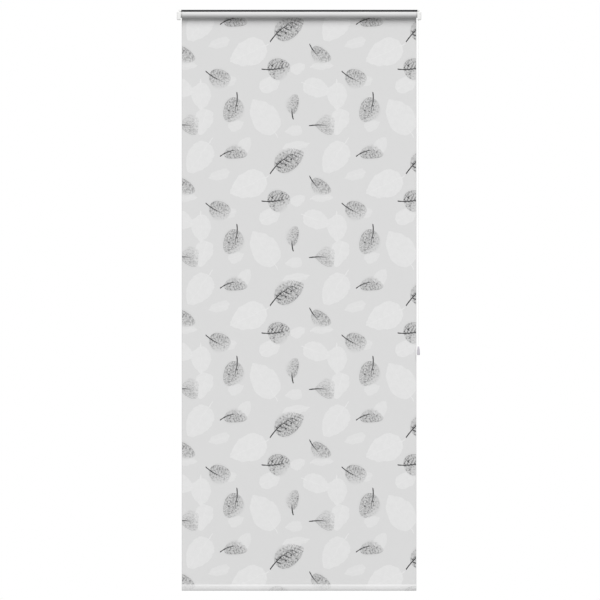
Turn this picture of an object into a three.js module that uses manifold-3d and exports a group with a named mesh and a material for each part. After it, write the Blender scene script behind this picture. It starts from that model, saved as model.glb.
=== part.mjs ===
// Shower roller blind under its head rail: a printed cloth hangs from the back of a thin roller,
// a bar weights its hem, and a pull cord with a bell-shaped pull leaves the right-hand end.
// Millimetres. X runs along the rail, -Y faces the room and +Z is up. The origin is the middle
// of the housing, at the level of the face that lies against the ceiling.
import * as THREE from "three";
import { mergeVertices } from "three/addons/utils/BufferGeometryUtils.js";
import Module from "manifold-3d";

const wasm = await Module();
wasm.setup();

// ---- Driving dimensions ----
const DROP = 2400; // ceiling to the bottom of the hem
const CLOTH_WIDTH = 969;
const SHEET = 1; // thickness of the coated cloth
const GAP = 0.3; // assembly clearance between neighbouring pieces
const CHAMFER = 0.6; // on the turned and moulded edges

// left and right: how far the rail reaches to each side; its drive end is a little longer
const RAIL = { left: 486.5, right: 488.9, front: -14.5, back: 18, height: 7, wall: 1.6 };
const HOOK = { reach: 1.5, bottom: -5.8, top: -4.8 }; // ledges inside the rail
const SCREW_HOLE = { radius: 2.5, places: [-420, -140, 140, 420] };

const AXIS = { y: -3, z: -18.5 }; // the roller's axis
const TUBE = { radius: 12.5, wall: 1 };
const ROLL_RADIUS = 14.5; // over the turns of cloth left on the tube

const PLUG = { insert: 32, flange: 4, flangeRadius: 15, edgeGap: 0.4 };
const PIN = { radius: 3, length: 37, past: 5 }; // past: how far it stands out of the bracket's plate
const HUB = { radius: 6, past: 0.1, shaftRadius: 3, shaftLength: 10.6 };

const BRACKET = { bottom: -42.5, top: -6.5, plate: 1.6, wall: 1.6, cupDepth: 9.3, halfDepth: 18, corner: 4 };
const TONGUE = { length: 20, width: 3.5, height: 2.6 };
const COVER = { depth: 6.2, wall: 1.6, rounding: 5, inset: 3.6 }; // inset: how far the dome draws in

const SPOOL = { flange: 0.8, flangeRadius: 9.8, groove: 5.4, coreRadius: 4.2 };
const WINDING_RADIUS = 9; // over the cord turns left on the spool
const CORD = { radius: 0.7, x: 493.2, steps: 40, sides: 8 };
const EYELET = { bore: 1.1, barrel: 1.6, lip: 2.1, lipHeight: 0.6 };

const PULL = { top: -1390, height: 36.8, bore: 1 };
const KNOT = { radius: 2.3, recess: 2.9, recessHeight: 6.5 };

const HEM = { height: 28.3, seam: 2.5 };
const BAR = { length: 965, halfThickness: 1.8, halfHeight: 11, clearance: 0.4 };

// ---- Places worked out from them ----
const railMiddle = (RAIL.front + RAIL.back) / 2;
const clothEdge = CLOTH_WIDTH / 2;
const clothBack = AXIS.y + ROLL_RADIUS; // the drop is tangent to the back of the roll
const flangeInner = clothEdge + PLUG.edgeGap;
const flangeOuter = flangeInner + PLUG.flange;
const plateInner = flangeOuter + GAP;
const plateOuter = plateInner + BRACKET.plate;
const cupRim = plateInner + BRACKET.cupDepth;
const coverInner = cupRim + GAP;
const hubEnd = plateOuter + HUB.past;
const spoolInner = hubEnd + GAP;
const cordY = AXIS.y - (WINDING_RADIUS + GAP + CORD.radius);

// ---- Materials ----
function plain(color, roughness, metalness = 0) {
  return new THREE.MeshStandardMaterial({ color, roughness, metalness });
}

const darkAnodised = plain("#4b4b4d", 0.45, 0.6);
const drawnAluminium = plain("#b8babd", 0.35, 1);
const steel = plain("#a9abae", 0.3, 1);
const whiteMoulding = plain("#f2f2f2", 0.4);
const greyMoulding = plain("#c9c9c9", 0.45);
const pullMoulding = plain("#bebac2", 0.35);
const whiteCord = plain("#f0f0f0", 0.8);
const printedCloth = plain("#dbdbdb", 0.7);

// ---- Making solids ----
// A section is drawn in the Y-Z plane and runs along X.
const sectionToWorld = new THREE.Matrix4().makeBasis(
  new THREE.Vector3(0, 1, 0),
  new THREE.Vector3(0, 0, 1),
  new THREE.Vector3(1, 0, 0),
);

function alongX(section, from, to, curveSegments = 24) {
  const settings = { depth: to - from, bevelEnabled: false, curveSegments };
  const geometry = new THREE.ExtrudeGeometry(section, settings);
  return geometry.applyMatrix4(sectionToWorld).translate(from, 0, 0);
}

// A block between opposite corners, given as [low, high] along each axis.
function block([x0, x1], [y0, y1], [z0, z1]) {
  const geometry = new THREE.BoxGeometry(x1 - x0, y1 - y0, z1 - z0);
  return geometry.translate((x0 + x1) / 2, (y0 + y1) / 2, (z0 + z1) / 2);
}

// A turned piece: each row of the profile is [radius, place along the axis].
function turned(profile, segments = 48) {
  const points = profile.map(([radius, along]) => new THREE.Vector2(radius, along));
  return new THREE.LatheGeometry(points, segments);
}

function turnedAboutX(profile, segments) {
  return turned(profile, segments).rotateZ(-Math.PI / 2);
}

function turnedAboutZ(profile, segments) {
  return turned(profile, segments).rotateX(Math.PI / 2);
}

function roundedRectangle(y0, y1, z0, z1, radius) {
  const shape = new THREE.Shape();
  const quarter = Math.PI / 2;
  shape.absarc(y1 - radius, z1 - radius, radius, 0, quarter);
  shape.absarc(y0 + radius, z1 - radius, radius, quarter, 2 * quarter);
  shape.absarc(y0 + radius, z0 + radius, radius, 2 * quarter, 3 * quarter);
  shape.absarc(y1 - radius, z0 + radius, radius, 3 * quarter, 4 * quarter);
  shape.closePath();
  return shape;
}

function toSolid(geometry) {
  const bare = geometry.clone();
  bare.deleteAttribute("normal");
  bare.deleteAttribute("uv");
  const merged = mergeVertices(bare, 1e-4);
  return new wasm.Manifold(
    new wasm.Mesh({
      numProp: 3,
      vertProperties: merged.attributes.position.array,
      triVerts: Uint32Array.from(merged.index.array),
    }),
  );
}

function toGeometry(solid) {
  const mesh = solid.getMesh();
  const geometry = new THREE.BufferGeometry();
  geometry.setAttribute("position", new THREE.BufferAttribute(mesh.vertProperties, 3));
  geometry.setIndex(new THREE.BufferAttribute(mesh.triVerts, 1));
  geometry.computeVertexNormals();
  return geometry;
}

// The first geometry with the added ones joined on and the cutters taken away.
function machined(base, added, cutters) {
  const joined = added.reduce((solid, extra) => solid.add(toSolid(extra)), toSolid(base));
  return toGeometry(cutters.reduce((solid, cutter) => solid.subtract(toSolid(cutter)), joined));
}

function piece(name, geometry, material) {
  const mesh = new THREE.Mesh(geometry, material);
  mesh.name = name;
  return mesh;
}

// ---- Cloth: one length, from its turns on the roller to its hem ----
const HEM_TOP = -DROP + HEM.height;
const SEAM_BOTTOM = HEM_TOP - HEM.seam;
const BAR_MIDDLE = -DROP + BAR.halfHeight + BAR.clearance + SHEET;

// A drop-shaped outline round the bar, larger than it by outset: two straight layers meet at the
// seam above it, halfApex to each side, and lie tangent to an ellipse below.
function wrapRoundBar(path, outset, halfApex) {
  const halfY = BAR.halfThickness + outset;
  const halfZ = BAR.halfHeight + outset;
  const across = halfApex / halfY;
  const up = (SEAM_BOTTOM - BAR_MIDDLE) / halfZ;
  const touch = Math.atan2(up, -across) + Math.acos(1 / Math.hypot(across, up));
  const leave = 3 * Math.PI - touch;
  path.lineTo(clothBack - halfApex, SEAM_BOTTOM);
  path.absellipse(clothBack, BAR_MIDDLE, halfY, halfZ, touch, leave, false, 0);
  path.lineTo(clothBack + halfApex, SEAM_BOTTOM);
}

function clothSection() {
  const innerTouch = 2 * Math.PI - Math.acos((ROLL_RADIUS - SHEET) / ROLL_RADIUS);
  const section = new THREE.Shape();
  section.moveTo(clothBack, HEM_TOP);
  section.lineTo(clothBack, AXIS.z);
  section.absarc(AXIS.y, AXIS.z, ROLL_RADIUS, 0, innerTouch);
  wrapRoundBar(section, BAR.clearance + SHEET, SHEET);
  section.lineTo(clothBack + SHEET, HEM_TOP);
  section.closePath();

  const bore = new THREE.Path();
  bore.absarc(AXIS.y, AXIS.z, TUBE.radius + GAP, 0, 2 * Math.PI, true);
  const pocket = new THREE.Path();
  pocket.moveTo(clothBack, SEAM_BOTTOM);
  wrapRoundBar(pocket, BAR.clearance, 0);
  section.holes.push(bore, pocket);
  return section;
}

function bottomBar() {
  const section = new THREE.Shape();
  section.absellipse(clothBack, BAR_MIDDLE, BAR.halfThickness, BAR.halfHeight, 0, 2 * Math.PI, false, 0);
  return alongX(section, -BAR.length / 2, BAR.length / 2, 16);
}

// ---- Head rail: a channel open below, with ledges that hold the brackets' tongues ----
function headRail() {
  const out = (RAIL.back - RAIL.front) / 2;
  const inside = out - RAIL.wall;
  const ledge = inside - HOOK.reach;
  const rightLeg = [
    [ledge, HOOK.bottom],
    [inside, HOOK.bottom],
    [inside, -RAIL.height],
    [out, -RAIL.height],
    [out, 0],
  ];
  const leftLeg = rightLeg.map(([y, z]) => [-y, z]).reverse();
  const inner = [
    [-ledge, HOOK.top],
    [-inside, HOOK.top],
    [-inside, -RAIL.wall],
    [inside, -RAIL.wall],
    [inside, HOOK.top],
    [ledge, HOOK.top],
  ];
  const outline = [...rightLeg, ...leftLeg, ...inner];
  const section = new THREE.Shape(outline.map(([y, z]) => new THREE.Vector2(y + railMiddle, z)));
  const channel = alongX(section, -RAIL.left, RAIL.right);
  const holes = SCREW_HOLE.places.map((x) => {
    const drill = new THREE.CylinderGeometry(SCREW_HOLE.radius, SCREW_HOLE.radius, 4 * RAIL.wall, 24);
    return drill.rotateX(Math.PI / 2).translate(x, railMiddle, -RAIL.wall / 2);
  });
  return machined(channel, [], holes);
}

// ---- End brackets: a cup beside the roll, hung from a block that closes the rail's end ----
// side is 1 for the right-hand end and -1 for the left. Lengths run outward from the middle.
function outward(side, from, to) {
  return side > 0 ? [from, to] : [-to, -from];
}

function cupOutline(inset) {
  const half = BRACKET.halfDepth - inset;
  return roundedRectangle(
    -half,
    half,
    BRACKET.bottom + inset,
    BRACKET.top - inset,
    BRACKET.corner - inset,
  );
}

// A round cutter about the roller's axis.
function roundCut(radius, from, to) {
  const cutter = new THREE.CylinderGeometry(radius, radius, to - from, 48).rotateZ(Math.PI / 2);
  return cutter.translate((from + to) / 2, AXIS.y, AXIS.z);
}

function endBracket(side, boreRadius, moreCuts) {
  const half = BRACKET.halfDepth;
  const blockInner = (side > 0 ? RAIL.right : RAIL.left) + GAP;
  const cup = alongX(cupOutline(0), ...outward(side, plateInner, cupRim), 6);
  const hollow = alongX(cupOutline(BRACKET.wall), ...outward(side, plateOuter, cupRim + 1), 6);
  const railCap = block(outward(side, blockInner, cupRim), [-half, half], [-RAIL.height, 0]);
  const tongueOuter = (RAIL.back - RAIL.front) / 2 - RAIL.wall - GAP;
  const tongueTop = -RAIL.wall - GAP;
  const tongues = [-1, 1].map((end) => {
    const near = Math.min(end * tongueOuter, end * (tongueOuter - TONGUE.width));
    return block(
      outward(side, blockInner - TONGUE.length, blockInner + 1),
      [railMiddle + near, railMiddle + near + TONGUE.width],
      [tongueTop - TONGUE.height, tongueTop],
    );
  });
  const bore = roundCut(boreRadius, ...outward(side, plateInner - 1, plateOuter + 1));
  const flangeRelief = roundCut(PLUG.flangeRadius + 2 * GAP, ...outward(side, flangeInner, plateInner));
  return machined(cup, [railCap, ...tongues], [hollow, bore, flangeRelief, ...moreCuts]);
}

// A shallow domed cover over the cup's open side.
function domed(inset, side) {
  const rounding = COVER.rounding - inset;
  const drawIn = COVER.inset - inset;
  const geometry = new THREE.ExtrudeGeometry(cupOutline(inset), {
    depth: 2 * (COVER.depth - COVER.rounding),
    curveSegments: 6,
    bevelThickness: rounding,
    bevelSize: drawIn,
    bevelOffset: -drawIn,
    bevelSegments: 5,
  });
  const middle = side * coverInner - (COVER.depth - COVER.rounding);
  return geometry.applyMatrix4(sectionToWorld).translate(middle, 0, 0);
}

function endCover(side) {
  const reach = 4 * BRACKET.halfDepth;
  const inner = block(
    outward(side, coverInner - reach, coverInner),
    [-reach, reach],
    [BRACKET.bottom - reach, BRACKET.top + reach],
  );
  return machined(domed(0, side), [], [domed(COVER.wall, side), inner]);
}

// ---- Roller: tube, plugs, spool and the cord wound on it, all about the roller's axis ----
function rollerTube() {
  const section = new THREE.Shape();
  section.absarc(0, 0, TUBE.radius, 0, 2 * Math.PI);
  const bore = new THREE.Path();
  bore.absarc(0, 0, TUBE.radius - TUBE.wall, 0, 2 * Math.PI, true);
  section.holes.push(bore);
  const end = flangeInner - GAP;
  return alongX(section, -end, end);
}

function idlePlug() {
  const barrel = TUBE.radius - TUBE.wall - GAP;
  const bore = PIN.radius + GAP;
  const end = flangeInner - PLUG.insert;
  return turnedAboutX([
    [bore, -flangeOuter],
    [PLUG.flangeRadius - CHAMFER, -flangeOuter],
    [PLUG.flangeRadius, -flangeOuter + CHAMFER],
    [PLUG.flangeRadius, -flangeInner],
    [barrel, -flangeInner],
    [barrel, -end - CHAMFER],
    [barrel - CHAMFER, -end],
    [bore, -end],
    [bore, -flangeOuter],
  ]);
}

function idlePin() {
  const outer = -(plateOuter + PIN.past);
  const inner = outer + PIN.length;
  return turnedAboutX(
    [
      [0, outer],
      [PIN.radius - CHAMFER, outer],
      [PIN.radius, outer + CHAMFER],
      [PIN.radius, inner - CHAMFER],
      [PIN.radius - CHAMFER, inner],
      [0, inner],
    ],
    32,
  );
}

function drivePlug() {
  const barrel = TUBE.radius - TUBE.wall - GAP;
  const inner = flangeInner - PLUG.insert;
  const shaftEnd = flangeOuter + HUB.shaftLength;
  return turnedAboutX([
    [0, inner],
    [barrel - CHAMFER, inner],
    [barrel, inner + CHAMFER],
    [barrel, flangeInner],
    [PLUG.flangeRadius, flangeInner],
    [PLUG.flangeRadius, flangeOuter - CHAMFER],
    [PLUG.flangeRadius - CHAMFER, flangeOuter],
    [HUB.radius, flangeOuter],
    [HUB.radius, hubEnd],
    [HUB.shaftRadius, hubEnd],
    [HUB.shaftRadius, shaftEnd],
    [0, shaftEnd],
  ]);
}

function cordSpool() {
  const bore = HUB.shaftRadius + GAP;
  const grooveInner = spoolInner + SPOOL.flange;
  const grooveOuter = grooveInner + SPOOL.groove;
  const outer = grooveOuter + SPOOL.flange;
  return turnedAboutX([
    [bore, spoolInner],
    [SPOOL.flangeRadius, spoolInner],
    [SPOOL.flangeRadius, grooveInner],
    [SPOOL.coreRadius, grooveInner],
    [SPOOL.coreRadius, grooveOuter],
    [SPOOL.flangeRadius, grooveOuter],
    [SPOOL.flangeRadius, outer],
    [bore, outer],
    [bore, spoolInner],
  ]);
}

function cordWinding() {
  const inner = spoolInner + SPOOL.flange + GAP;
  const outer = inner + SPOOL.groove - 2 * GAP;
  const innerRadius = SPOOL.coreRadius + GAP;
  return turnedAboutX([
    [innerRadius, inner],
    [WINDING_RADIUS - CHAMFER, inner],
    [WINDING_RADIUS, inner + CHAMFER],
    [WINDING_RADIUS, outer - CHAMFER],
    [WINDING_RADIUS - CHAMFER, outer],
    [innerRadius, outer],
    [innerRadius, inner],
  ]);
}

// ---- Cord, eyelet, pull and knot, all about the cord's own line ----
// Heights are the drop's own, measured down from the ceiling.
function cordEyelet() {
  const top = BRACKET.bottom + BRACKET.wall;
  const lip = EYELET.lipHeight + GAP;
  return turnedAboutZ(
    [
      [EYELET.bore, BRACKET.bottom - lip],
      [EYELET.lip, BRACKET.bottom - lip],
      [EYELET.lip, BRACKET.bottom - GAP],
      [EYELET.barrel, BRACKET.bottom - GAP],
      [EYELET.barrel, top + GAP],
      [EYELET.lip, top + GAP],
      [EYELET.lip, top + lip],
      [EYELET.bore, top + lip],
      [EYELET.bore, BRACKET.bottom - lip],
    ],
    24,
  );
}

// The cord leaves the winding at the height of the roller's axis and hangs straight to the knot.
function cordLine() {
  const foot = PULL.top - PULL.height + KNOT.recessHeight - GAP;
  return new THREE.LineCurve3(new THREE.Vector3(0, 0, AXIS.z), new THREE.Vector3(0, 0, foot));
}

function cordTube() {
  const section = new THREE.Shape();
  section.absarc(0, 0, CORD.radius, 0, 2 * Math.PI);
  return new THREE.ExtrudeGeometry(section, {
    extrudePath: cordLine(),
    steps: CORD.steps,
    curveSegments: CORD.sides / 2,
  });
}

function pullBell() {
  // radius: the outside of the bell; share: how far down it lies, from top to bottom
  const outline = [
    { radius: 2.2, share: 0 },
    { radius: 2.8, share: 0.03 },
    { radius: 3.3, share: 0.1 },
    { radius: 4.0, share: 0.22 },
    { radius: 5.0, share: 0.42 },
    { radius: 5.7, share: 0.62 },
    { radius: 5.9, share: 0.8 },
    { radius: 5.6, share: 0.94 },
    { radius: 5.2, share: 1 },
  ];
  const bottom = PULL.top - PULL.height;
  const outside = outline.map(({ radius, share }) => [radius, PULL.top - share * PULL.height]);
  return turnedAboutZ(
    [
      [PULL.bore, PULL.top],
      [PULL.bore, bottom + KNOT.recessHeight],
      [KNOT.recess, bottom + KNOT.recessHeight],
      [KNOT.recess, bottom],
      ...outside.reverse(),
      [PULL.bore, PULL.top],
    ],
    32,
  );
}

function endKnot() {
  const middle = PULL.top - PULL.height + KNOT.recessHeight - 2 * GAP - KNOT.radius;
  return new THREE.SphereGeometry(KNOT.radius, 16, 10).rotateX(Math.PI / 2).translate(0, 0, middle);
}

// ---- The blind put together ----
const blind = new THREE.Group();

const eyeletHole = new THREE.CylinderGeometry(EYELET.barrel + GAP, EYELET.barrel + GAP, 4 * BRACKET.wall, 24);
eyeletHole.rotateX(Math.PI / 2).translate(CORD.x, cordY, BRACKET.bottom + BRACKET.wall / 2);

blind.add(
  piece("head_rail", headRail(), darkAnodised),
  piece("bracket_left", endBracket(-1, PIN.radius + GAP, []), whiteMoulding),
  piece("cover_left", endCover(-1), whiteMoulding),
  piece("bracket_right", endBracket(1, HUB.radius + GAP, [eyeletHole]), whiteMoulding),
  piece("cover_right", endCover(1), whiteMoulding),
  piece("cloth", alongX(clothSection(), -clothEdge, clothEdge), printedCloth),
  piece("bottom_bar", bottomBar(), drawnAluminium),
);

const roller = new THREE.Group();
roller.position.set(0, AXIS.y, AXIS.z);
roller.add(
  piece("roller_tube", rollerTube(), drawnAluminium),
  piece("idle_plug", idlePlug(), greyMoulding),
  piece("idle_pin", idlePin(), steel),
  piece("drive_plug", drivePlug(), greyMoulding),
  piece("cord_spool", cordSpool(), greyMoulding),
  piece("cord_winding", cordWinding(), whiteCord),
);

const pullLine = new THREE.Group();
pullLine.position.set(CORD.x, cordY, 0);
pullLine.add(
  piece("cord_eyelet", cordEyelet(), steel),
  piece("cord", cordTube(), whiteCord),
  piece("pull", pullBell(), pullMoulding),
  piece("cord_knot", endKnot(), whiteCord),
);

blind.add(roller, pullLine);

export default blind;
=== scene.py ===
# %% [markdown]
# A roller blind for a shower hangs a printed, water-repellent cloth from a thin roller.
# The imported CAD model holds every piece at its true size, and this lesson dresses it in Blender.
# Loading the frame comes first, so that each new piece can be laid exactly where its solid is.

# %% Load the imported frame
import math
from functools import partial

import bmesh
import bpy
from mathutils import Matrix, Vector


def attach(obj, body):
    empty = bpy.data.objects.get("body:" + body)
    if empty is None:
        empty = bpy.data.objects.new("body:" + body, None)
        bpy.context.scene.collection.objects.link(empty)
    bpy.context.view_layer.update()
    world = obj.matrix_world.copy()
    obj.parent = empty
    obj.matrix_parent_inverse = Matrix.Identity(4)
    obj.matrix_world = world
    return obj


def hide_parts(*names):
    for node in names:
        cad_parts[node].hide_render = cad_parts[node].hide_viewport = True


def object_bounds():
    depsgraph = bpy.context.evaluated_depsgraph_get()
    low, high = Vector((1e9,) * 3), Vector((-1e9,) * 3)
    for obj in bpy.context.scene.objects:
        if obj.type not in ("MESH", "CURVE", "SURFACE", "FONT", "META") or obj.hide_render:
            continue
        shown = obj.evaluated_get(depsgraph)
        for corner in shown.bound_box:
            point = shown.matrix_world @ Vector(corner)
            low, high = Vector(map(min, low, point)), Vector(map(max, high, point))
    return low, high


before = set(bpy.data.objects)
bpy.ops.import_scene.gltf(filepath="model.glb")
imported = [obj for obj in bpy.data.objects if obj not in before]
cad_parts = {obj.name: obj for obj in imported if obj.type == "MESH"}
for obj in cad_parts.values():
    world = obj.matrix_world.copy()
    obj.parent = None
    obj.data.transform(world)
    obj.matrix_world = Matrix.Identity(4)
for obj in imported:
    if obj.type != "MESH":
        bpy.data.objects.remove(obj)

cad_low, cad_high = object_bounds()

# %% [markdown]
# The frame is in metres and a blind maker thinks in millimetres, so one constant turns one into the
# other. Colours are sRGB hex values, as on a paint chart, and one function turns them into the
# linear values in which Blender mixes light.

# %% Millimetres and colours
MM = 0.001


def linear(hex_colour):
    """A colour such as #DBDBDB as linear red, green, blue and alpha."""
    shares = [int(hex_colour[i : i + 2], 16) / 255 for i in (1, 3, 5)]
    curve = [s / 12.92 if s <= 0.04045 else ((s + 0.055) / 1.055) ** 2.4 for s in shares]
    return (*curve, 1.0)


print("cloth ground in linear light", [round(c, 3) for c in linear("#DBDBDB")])

# %% [markdown]
# The camera stands straight in front of the blind, at the height of its middle. Parallel lines of
# sight keep the cloth's corners square and its ends out of view, so it is an orthographic camera,
# and its scale is the height of the view in metres.

# %% Camera
VIEW_HEIGHT = 2.479
VIEW_CENTRE = (0.0038, -1.199)
CAMERA_DISTANCE = 4.0


def placed(name, data):
    """A new object of that data, in the scene."""
    made = bpy.data.objects.new(name, data)
    bpy.context.collection.objects.link(made)
    return made


camera = bpy.data.cameras.new("front_camera")
camera.type = "ORTHO"
camera.ortho_scale = VIEW_HEIGHT
camera_stand = placed("front_camera", camera)
camera_stand.location = (VIEW_CENTRE[0], -CAMERA_DISTANCE, VIEW_CENTRE[1])
camera_stand.rotation_euler = (math.pi / 2, 0, 0)
bpy.context.scene.camera = camera_stand
bpy.context.scene.view_settings.view_transform = "Standard"
print("camera sees", VIEW_HEIGHT, "m of height")

# %% [markdown]
# Every material below is a small network of nodes. One function adds a node, gives it its settings
# and joins its inputs, so each pattern reads as a list of steps. An input is given by name or
# number, and its value is a plain value or the node that feeds it. The commonest steps have short
# names.

# %% One node at a time
MAIN_SETTING = {
    "Math": "operation",
    "VectorMath": "operation",
    "MapRange": "interpolation_type",
    "Mix": "data_type",
    "TexNoise": "noise_dimensions",
    "TexVoronoi": "voronoi_dimensions",
}
TIMES, PLUS, MINUS, OVER = "Math MULTIPLY", "Math ADD", "Math SUBTRACT", "Math DIVIDE"
LARGEST, ABSOLUTE, POWER = "Math MAXIMUM", "Math ABSOLUTE", "Math POWER"
SMOOTH, NOISE, CELLS = "MapRange SMOOTHSTEP", "TexNoise 2D", "TexVoronoi 2D"


def feed(tree, made, inputs):
    """Sets or joins the inputs of a node. inputs: a list, or a dict of name or number to value."""
    live = [socket for socket in made.inputs if socket.enabled]
    for name, value in inputs.items() if isinstance(inputs, dict) else enumerate(inputs):
        socket = live[name] if isinstance(name, int) else next(s for s in live if s.name == name)
        if isinstance(value, bpy.types.Node):
            value = next(s for s in value.outputs if s.enabled)
        if isinstance(value, bpy.types.NodeSocket):
            tree.links.new(value, socket)
        else:
            socket.default_value = value


def node(tree, kind, inputs=(), **settings):
    """A new node of ShaderNode + kind. A second word in kind is its main setting. A sum of more
    than two inputs takes them one after the other."""
    kind, *main = kind.split()
    if main:
        settings[MAIN_SETTING[kind]] = main[0]
    if kind == "Math" and len(inputs) > 2:
        inputs = [node(tree, "Math " + main[0], inputs[:-1]), inputs[-1]]
    made = tree.nodes.new("ShaderNode" + kind)
    for name, value in settings.items():
        setattr(made, name, value)
    feed(tree, made, inputs)
    return made


def new_material(name):
    """An empty node material: its tree, and the Principled shader at its end."""
    material = bpy.data.materials.new(name)
    material.use_nodes = True
    tree = material.node_tree
    tree.nodes.clear()
    shader = node(tree, "BsdfPrincipled")
    node(tree, "OutputMaterial", {"Surface": shader})
    return material, tree, shader


# %% [markdown]
# Soft light from above and in front shows a roller blind best: the round roll turns from pale to
# dark and drops a soft shadow on the cloth. A wide sun lamp does this evenly over the whole drop,
# and a weaker one behind lights the reverse. The world and the floor look white to the camera and
# in reflections, but give the object only a plain, low light.

# %% Lamps, world and floor
FRONT_SUN = (2.9, 45, 0, 38)  # strength, and elevation, heading and angle in degrees
BACK_SUN = (1.9, 40, 180, 60)
WORLD_LIGHT = 0.34
FLOOR_GAP = 45 * MM
FLOOR_SIZE = 30.0


def sun(name, strength, elevation, heading, angle):
    lamp = bpy.data.lights.new(name, "SUN")
    lamp.energy = strength
    lamp.angle = math.radians(angle)
    stand = placed(name, lamp)
    tilt = math.radians(90 - elevation)
    stand.rotation_euler = (tilt, 0, math.radians(heading))


def seen_directly(tree):
    """1 where the camera, a reflection or a view through glass looks, and 0 for soft light."""
    path = node(tree, "LightPath")
    rays = ("Is Camera Ray", "Is Glossy Ray", "Is Transmission Ray")
    return node(tree, LARGEST, [path.outputs[ray] for ray in rays])


sun("front_sun", *FRONT_SUN)
sun("back_sun", *BACK_SUN)

world = bpy.data.worlds.new("studio")
bpy.context.scene.world = world
world.use_nodes = True
sky_tree = world.node_tree
sky_tree.nodes.clear()
level = node(sky_tree, "MapRange", [seen_directly(sky_tree), 0.0, 1.0, WORLD_LIGHT, 1.0])
sky = node(sky_tree, "Background", {"Color": linear("#FFFFFF"), "Strength": level})
node(sky_tree, "OutputWorld", {"Surface": sky})

floor_material = bpy.data.materials.new("pale_floor")
floor_material.use_nodes = True
floor_tree = floor_material.node_tree
floor_tree.nodes.clear()
pale = node(floor_tree, "BsdfDiffuse", {"Color": linear("#E6E6E6")})
dull = node(floor_tree, "BsdfDiffuse", {"Color": linear("#8C8C8C")})
floor_mix = node(floor_tree, "MixShader", [seen_directly(floor_tree), dull, pale])
node(floor_tree, "OutputMaterial", {"Surface": floor_mix})

floor_bm = bmesh.new()
bmesh.ops.create_grid(floor_bm, x_segments=1, y_segments=1, size=FLOOR_SIZE / 2)
bmesh.ops.translate(floor_bm, verts=floor_bm.verts, vec=(0, 0, cad_low.z - FLOOR_GAP))
floor_mesh = bpy.data.meshes.new("floor")
floor_bm.to_mesh(floor_mesh)
floor_bm.free()
floor_mesh.materials.append(floor_material)
floor = placed("floor", floor_mesh)
print("floor at", round(cad_low.z - FLOOR_GAP, 3), "m")

# %% [markdown]
# Every new piece is finished in the same way: doubled points are merged, faces turned outward, soft
# edges shaded smooth and hard ones kept crisp. The piece then rides on the blind, takes the place
# of its plain solid and gets its material.

# %% Finish a piece
SMOOTH_BELOW = math.radians(32)
MERGE = 1e-6


def on_the_blind(name, data, stands_for):
    """A piece in the blind's one body, with its finish, in the place of its plain solids."""
    made = placed(name, data)
    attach(made, "root")
    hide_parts(*stands_for)
    return made


def finished(name, bm, material, stands_for, clean=True):
    """bm made into a piece of the blind. clean merges doubles and turns faces outward."""
    if clean:
        bmesh.ops.remove_doubles(bm, verts=bm.verts, dist=MERGE)
        bmesh.ops.recalc_face_normals(bm, faces=bm.faces)
    mesh = bpy.data.meshes.new(name)
    bm.to_mesh(mesh)
    bm.free()
    mesh.shade_smooth()
    mesh.set_sharp_from_angle(angle=SMOOTH_BELOW)
    for each in material if isinstance(material, list) else [material]:
        mesh.materials.append(each)
    print(name, "has", len(mesh.polygons), "faces")
    return on_the_blind(name, mesh, stands_for)


def eased(piece, width, segments=2):
    """Rounds the hard edges of a piece by width, as moulding and extrusion leave them."""
    bevel = piece.modifiers.new("eased edges", "BEVEL")
    bevel.width = width
    bevel.segments = segments
    bevel.limit_method = "ANGLE"
    bevel.angle_limit = SMOOTH_BELOW
    bevel.harden_normals = True
    return piece


# %% [markdown]
# The pull cord is braided white polyester, 1.4 mm thick. It leaves the spool in the right-hand
# housing, passes the eyelet in its underside and hangs down to a knot in the pull. A cord is best
# made as a curve with a round bevel: the curve is its centre line, and Blender maps it with u along
# the length and v once round, on which the braid can be drawn.

# %% Cord as a curve
CORD_DIAMETER = 1.4 * MM
CORD_X, CORD_Y = 493.2 * MM, -13.0 * MM
CORD_TOP, CORD_FOOT = -18.5 * MM, -1420.6 * MM
CORD_POINTS = 36


def strand(name, route, material, stands_for):
    """A round cord that follows the points of route."""
    curve = bpy.data.curves.new(name, "CURVE")
    curve.dimensions = "3D"
    curve.bevel_depth = CORD_DIAMETER / 2
    curve.bevel_resolution = 4
    curve.use_fill_caps = True
    line = curve.splines.new("POLY")
    line.points.add(len(route) - 1)
    for point, place in zip(line.points, route):
        point.co = (*place, 1.0)
    line.use_smooth = True
    curve.materials.append(material)
    return on_the_blind(name, curve, [stands_for])


# %% [markdown]
# Braided polyester is two sets of thin yarn bundles that cross each other over and under, so its
# face is a net of small pads. A real braid this thin repeats about every millimetre, and it is
# drawn at twice that so that it can be seen. Polyester is a little glossy along each bundle.

# %% Braided polyester
BRAID_REPEAT = 2.2 * MM
BRAID_BUNDLES = 4


def braided_polyester(name, length):
    """White braided cord, for a strand of that length in metres."""
    material, tree, shader = new_material(name)
    place = node(tree, "SeparateXYZ", [node(tree, "TexCoord").outputs["UV"]])
    along = node(tree, TIMES, [place.outputs["X"], length / BRAID_REPEAT])
    around = node(tree, TIMES, [place.outputs["Y"], BRAID_BUNDLES])
    crossings = [node(tree, way, [around, along]) for way in (PLUS, MINUS)]
    relief = node(tree, LARGEST, [node(tree, "Math PINGPONG", [each, 0.5]) for each in crossings])
    # painted shade: the cord's colour is darker where the relief is low, in the gaps between the pads
    shade = node(tree, "MapRange", [relief, 0.1, 0.45])
    tint = node(tree, "Mix RGBA", [shade, linear("#EAEAE9"), linear("#FCFCFB")])
    bump = node(tree, "Bump", {"Height": relief, "Strength": 0.6, "Distance": 0.25 * MM})
    feed(tree, shader, {"Base Color": tint, "Roughness": 0.6, "Normal": bump})
    return material


cord_length = CORD_TOP - CORD_FOOT
cord_step = cord_length / (CORD_POINTS - 1)
cord_route = [(CORD_X, CORD_Y, CORD_TOP - i * cord_step) for i in range(CORD_POINTS)]
cord = strand("pull_cord", cord_route, braided_polyester("braided_polyester", cord_length), "cord")
print("cord length", round(cord_length, 4), "m in", CORD_POINTS, "points")
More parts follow.
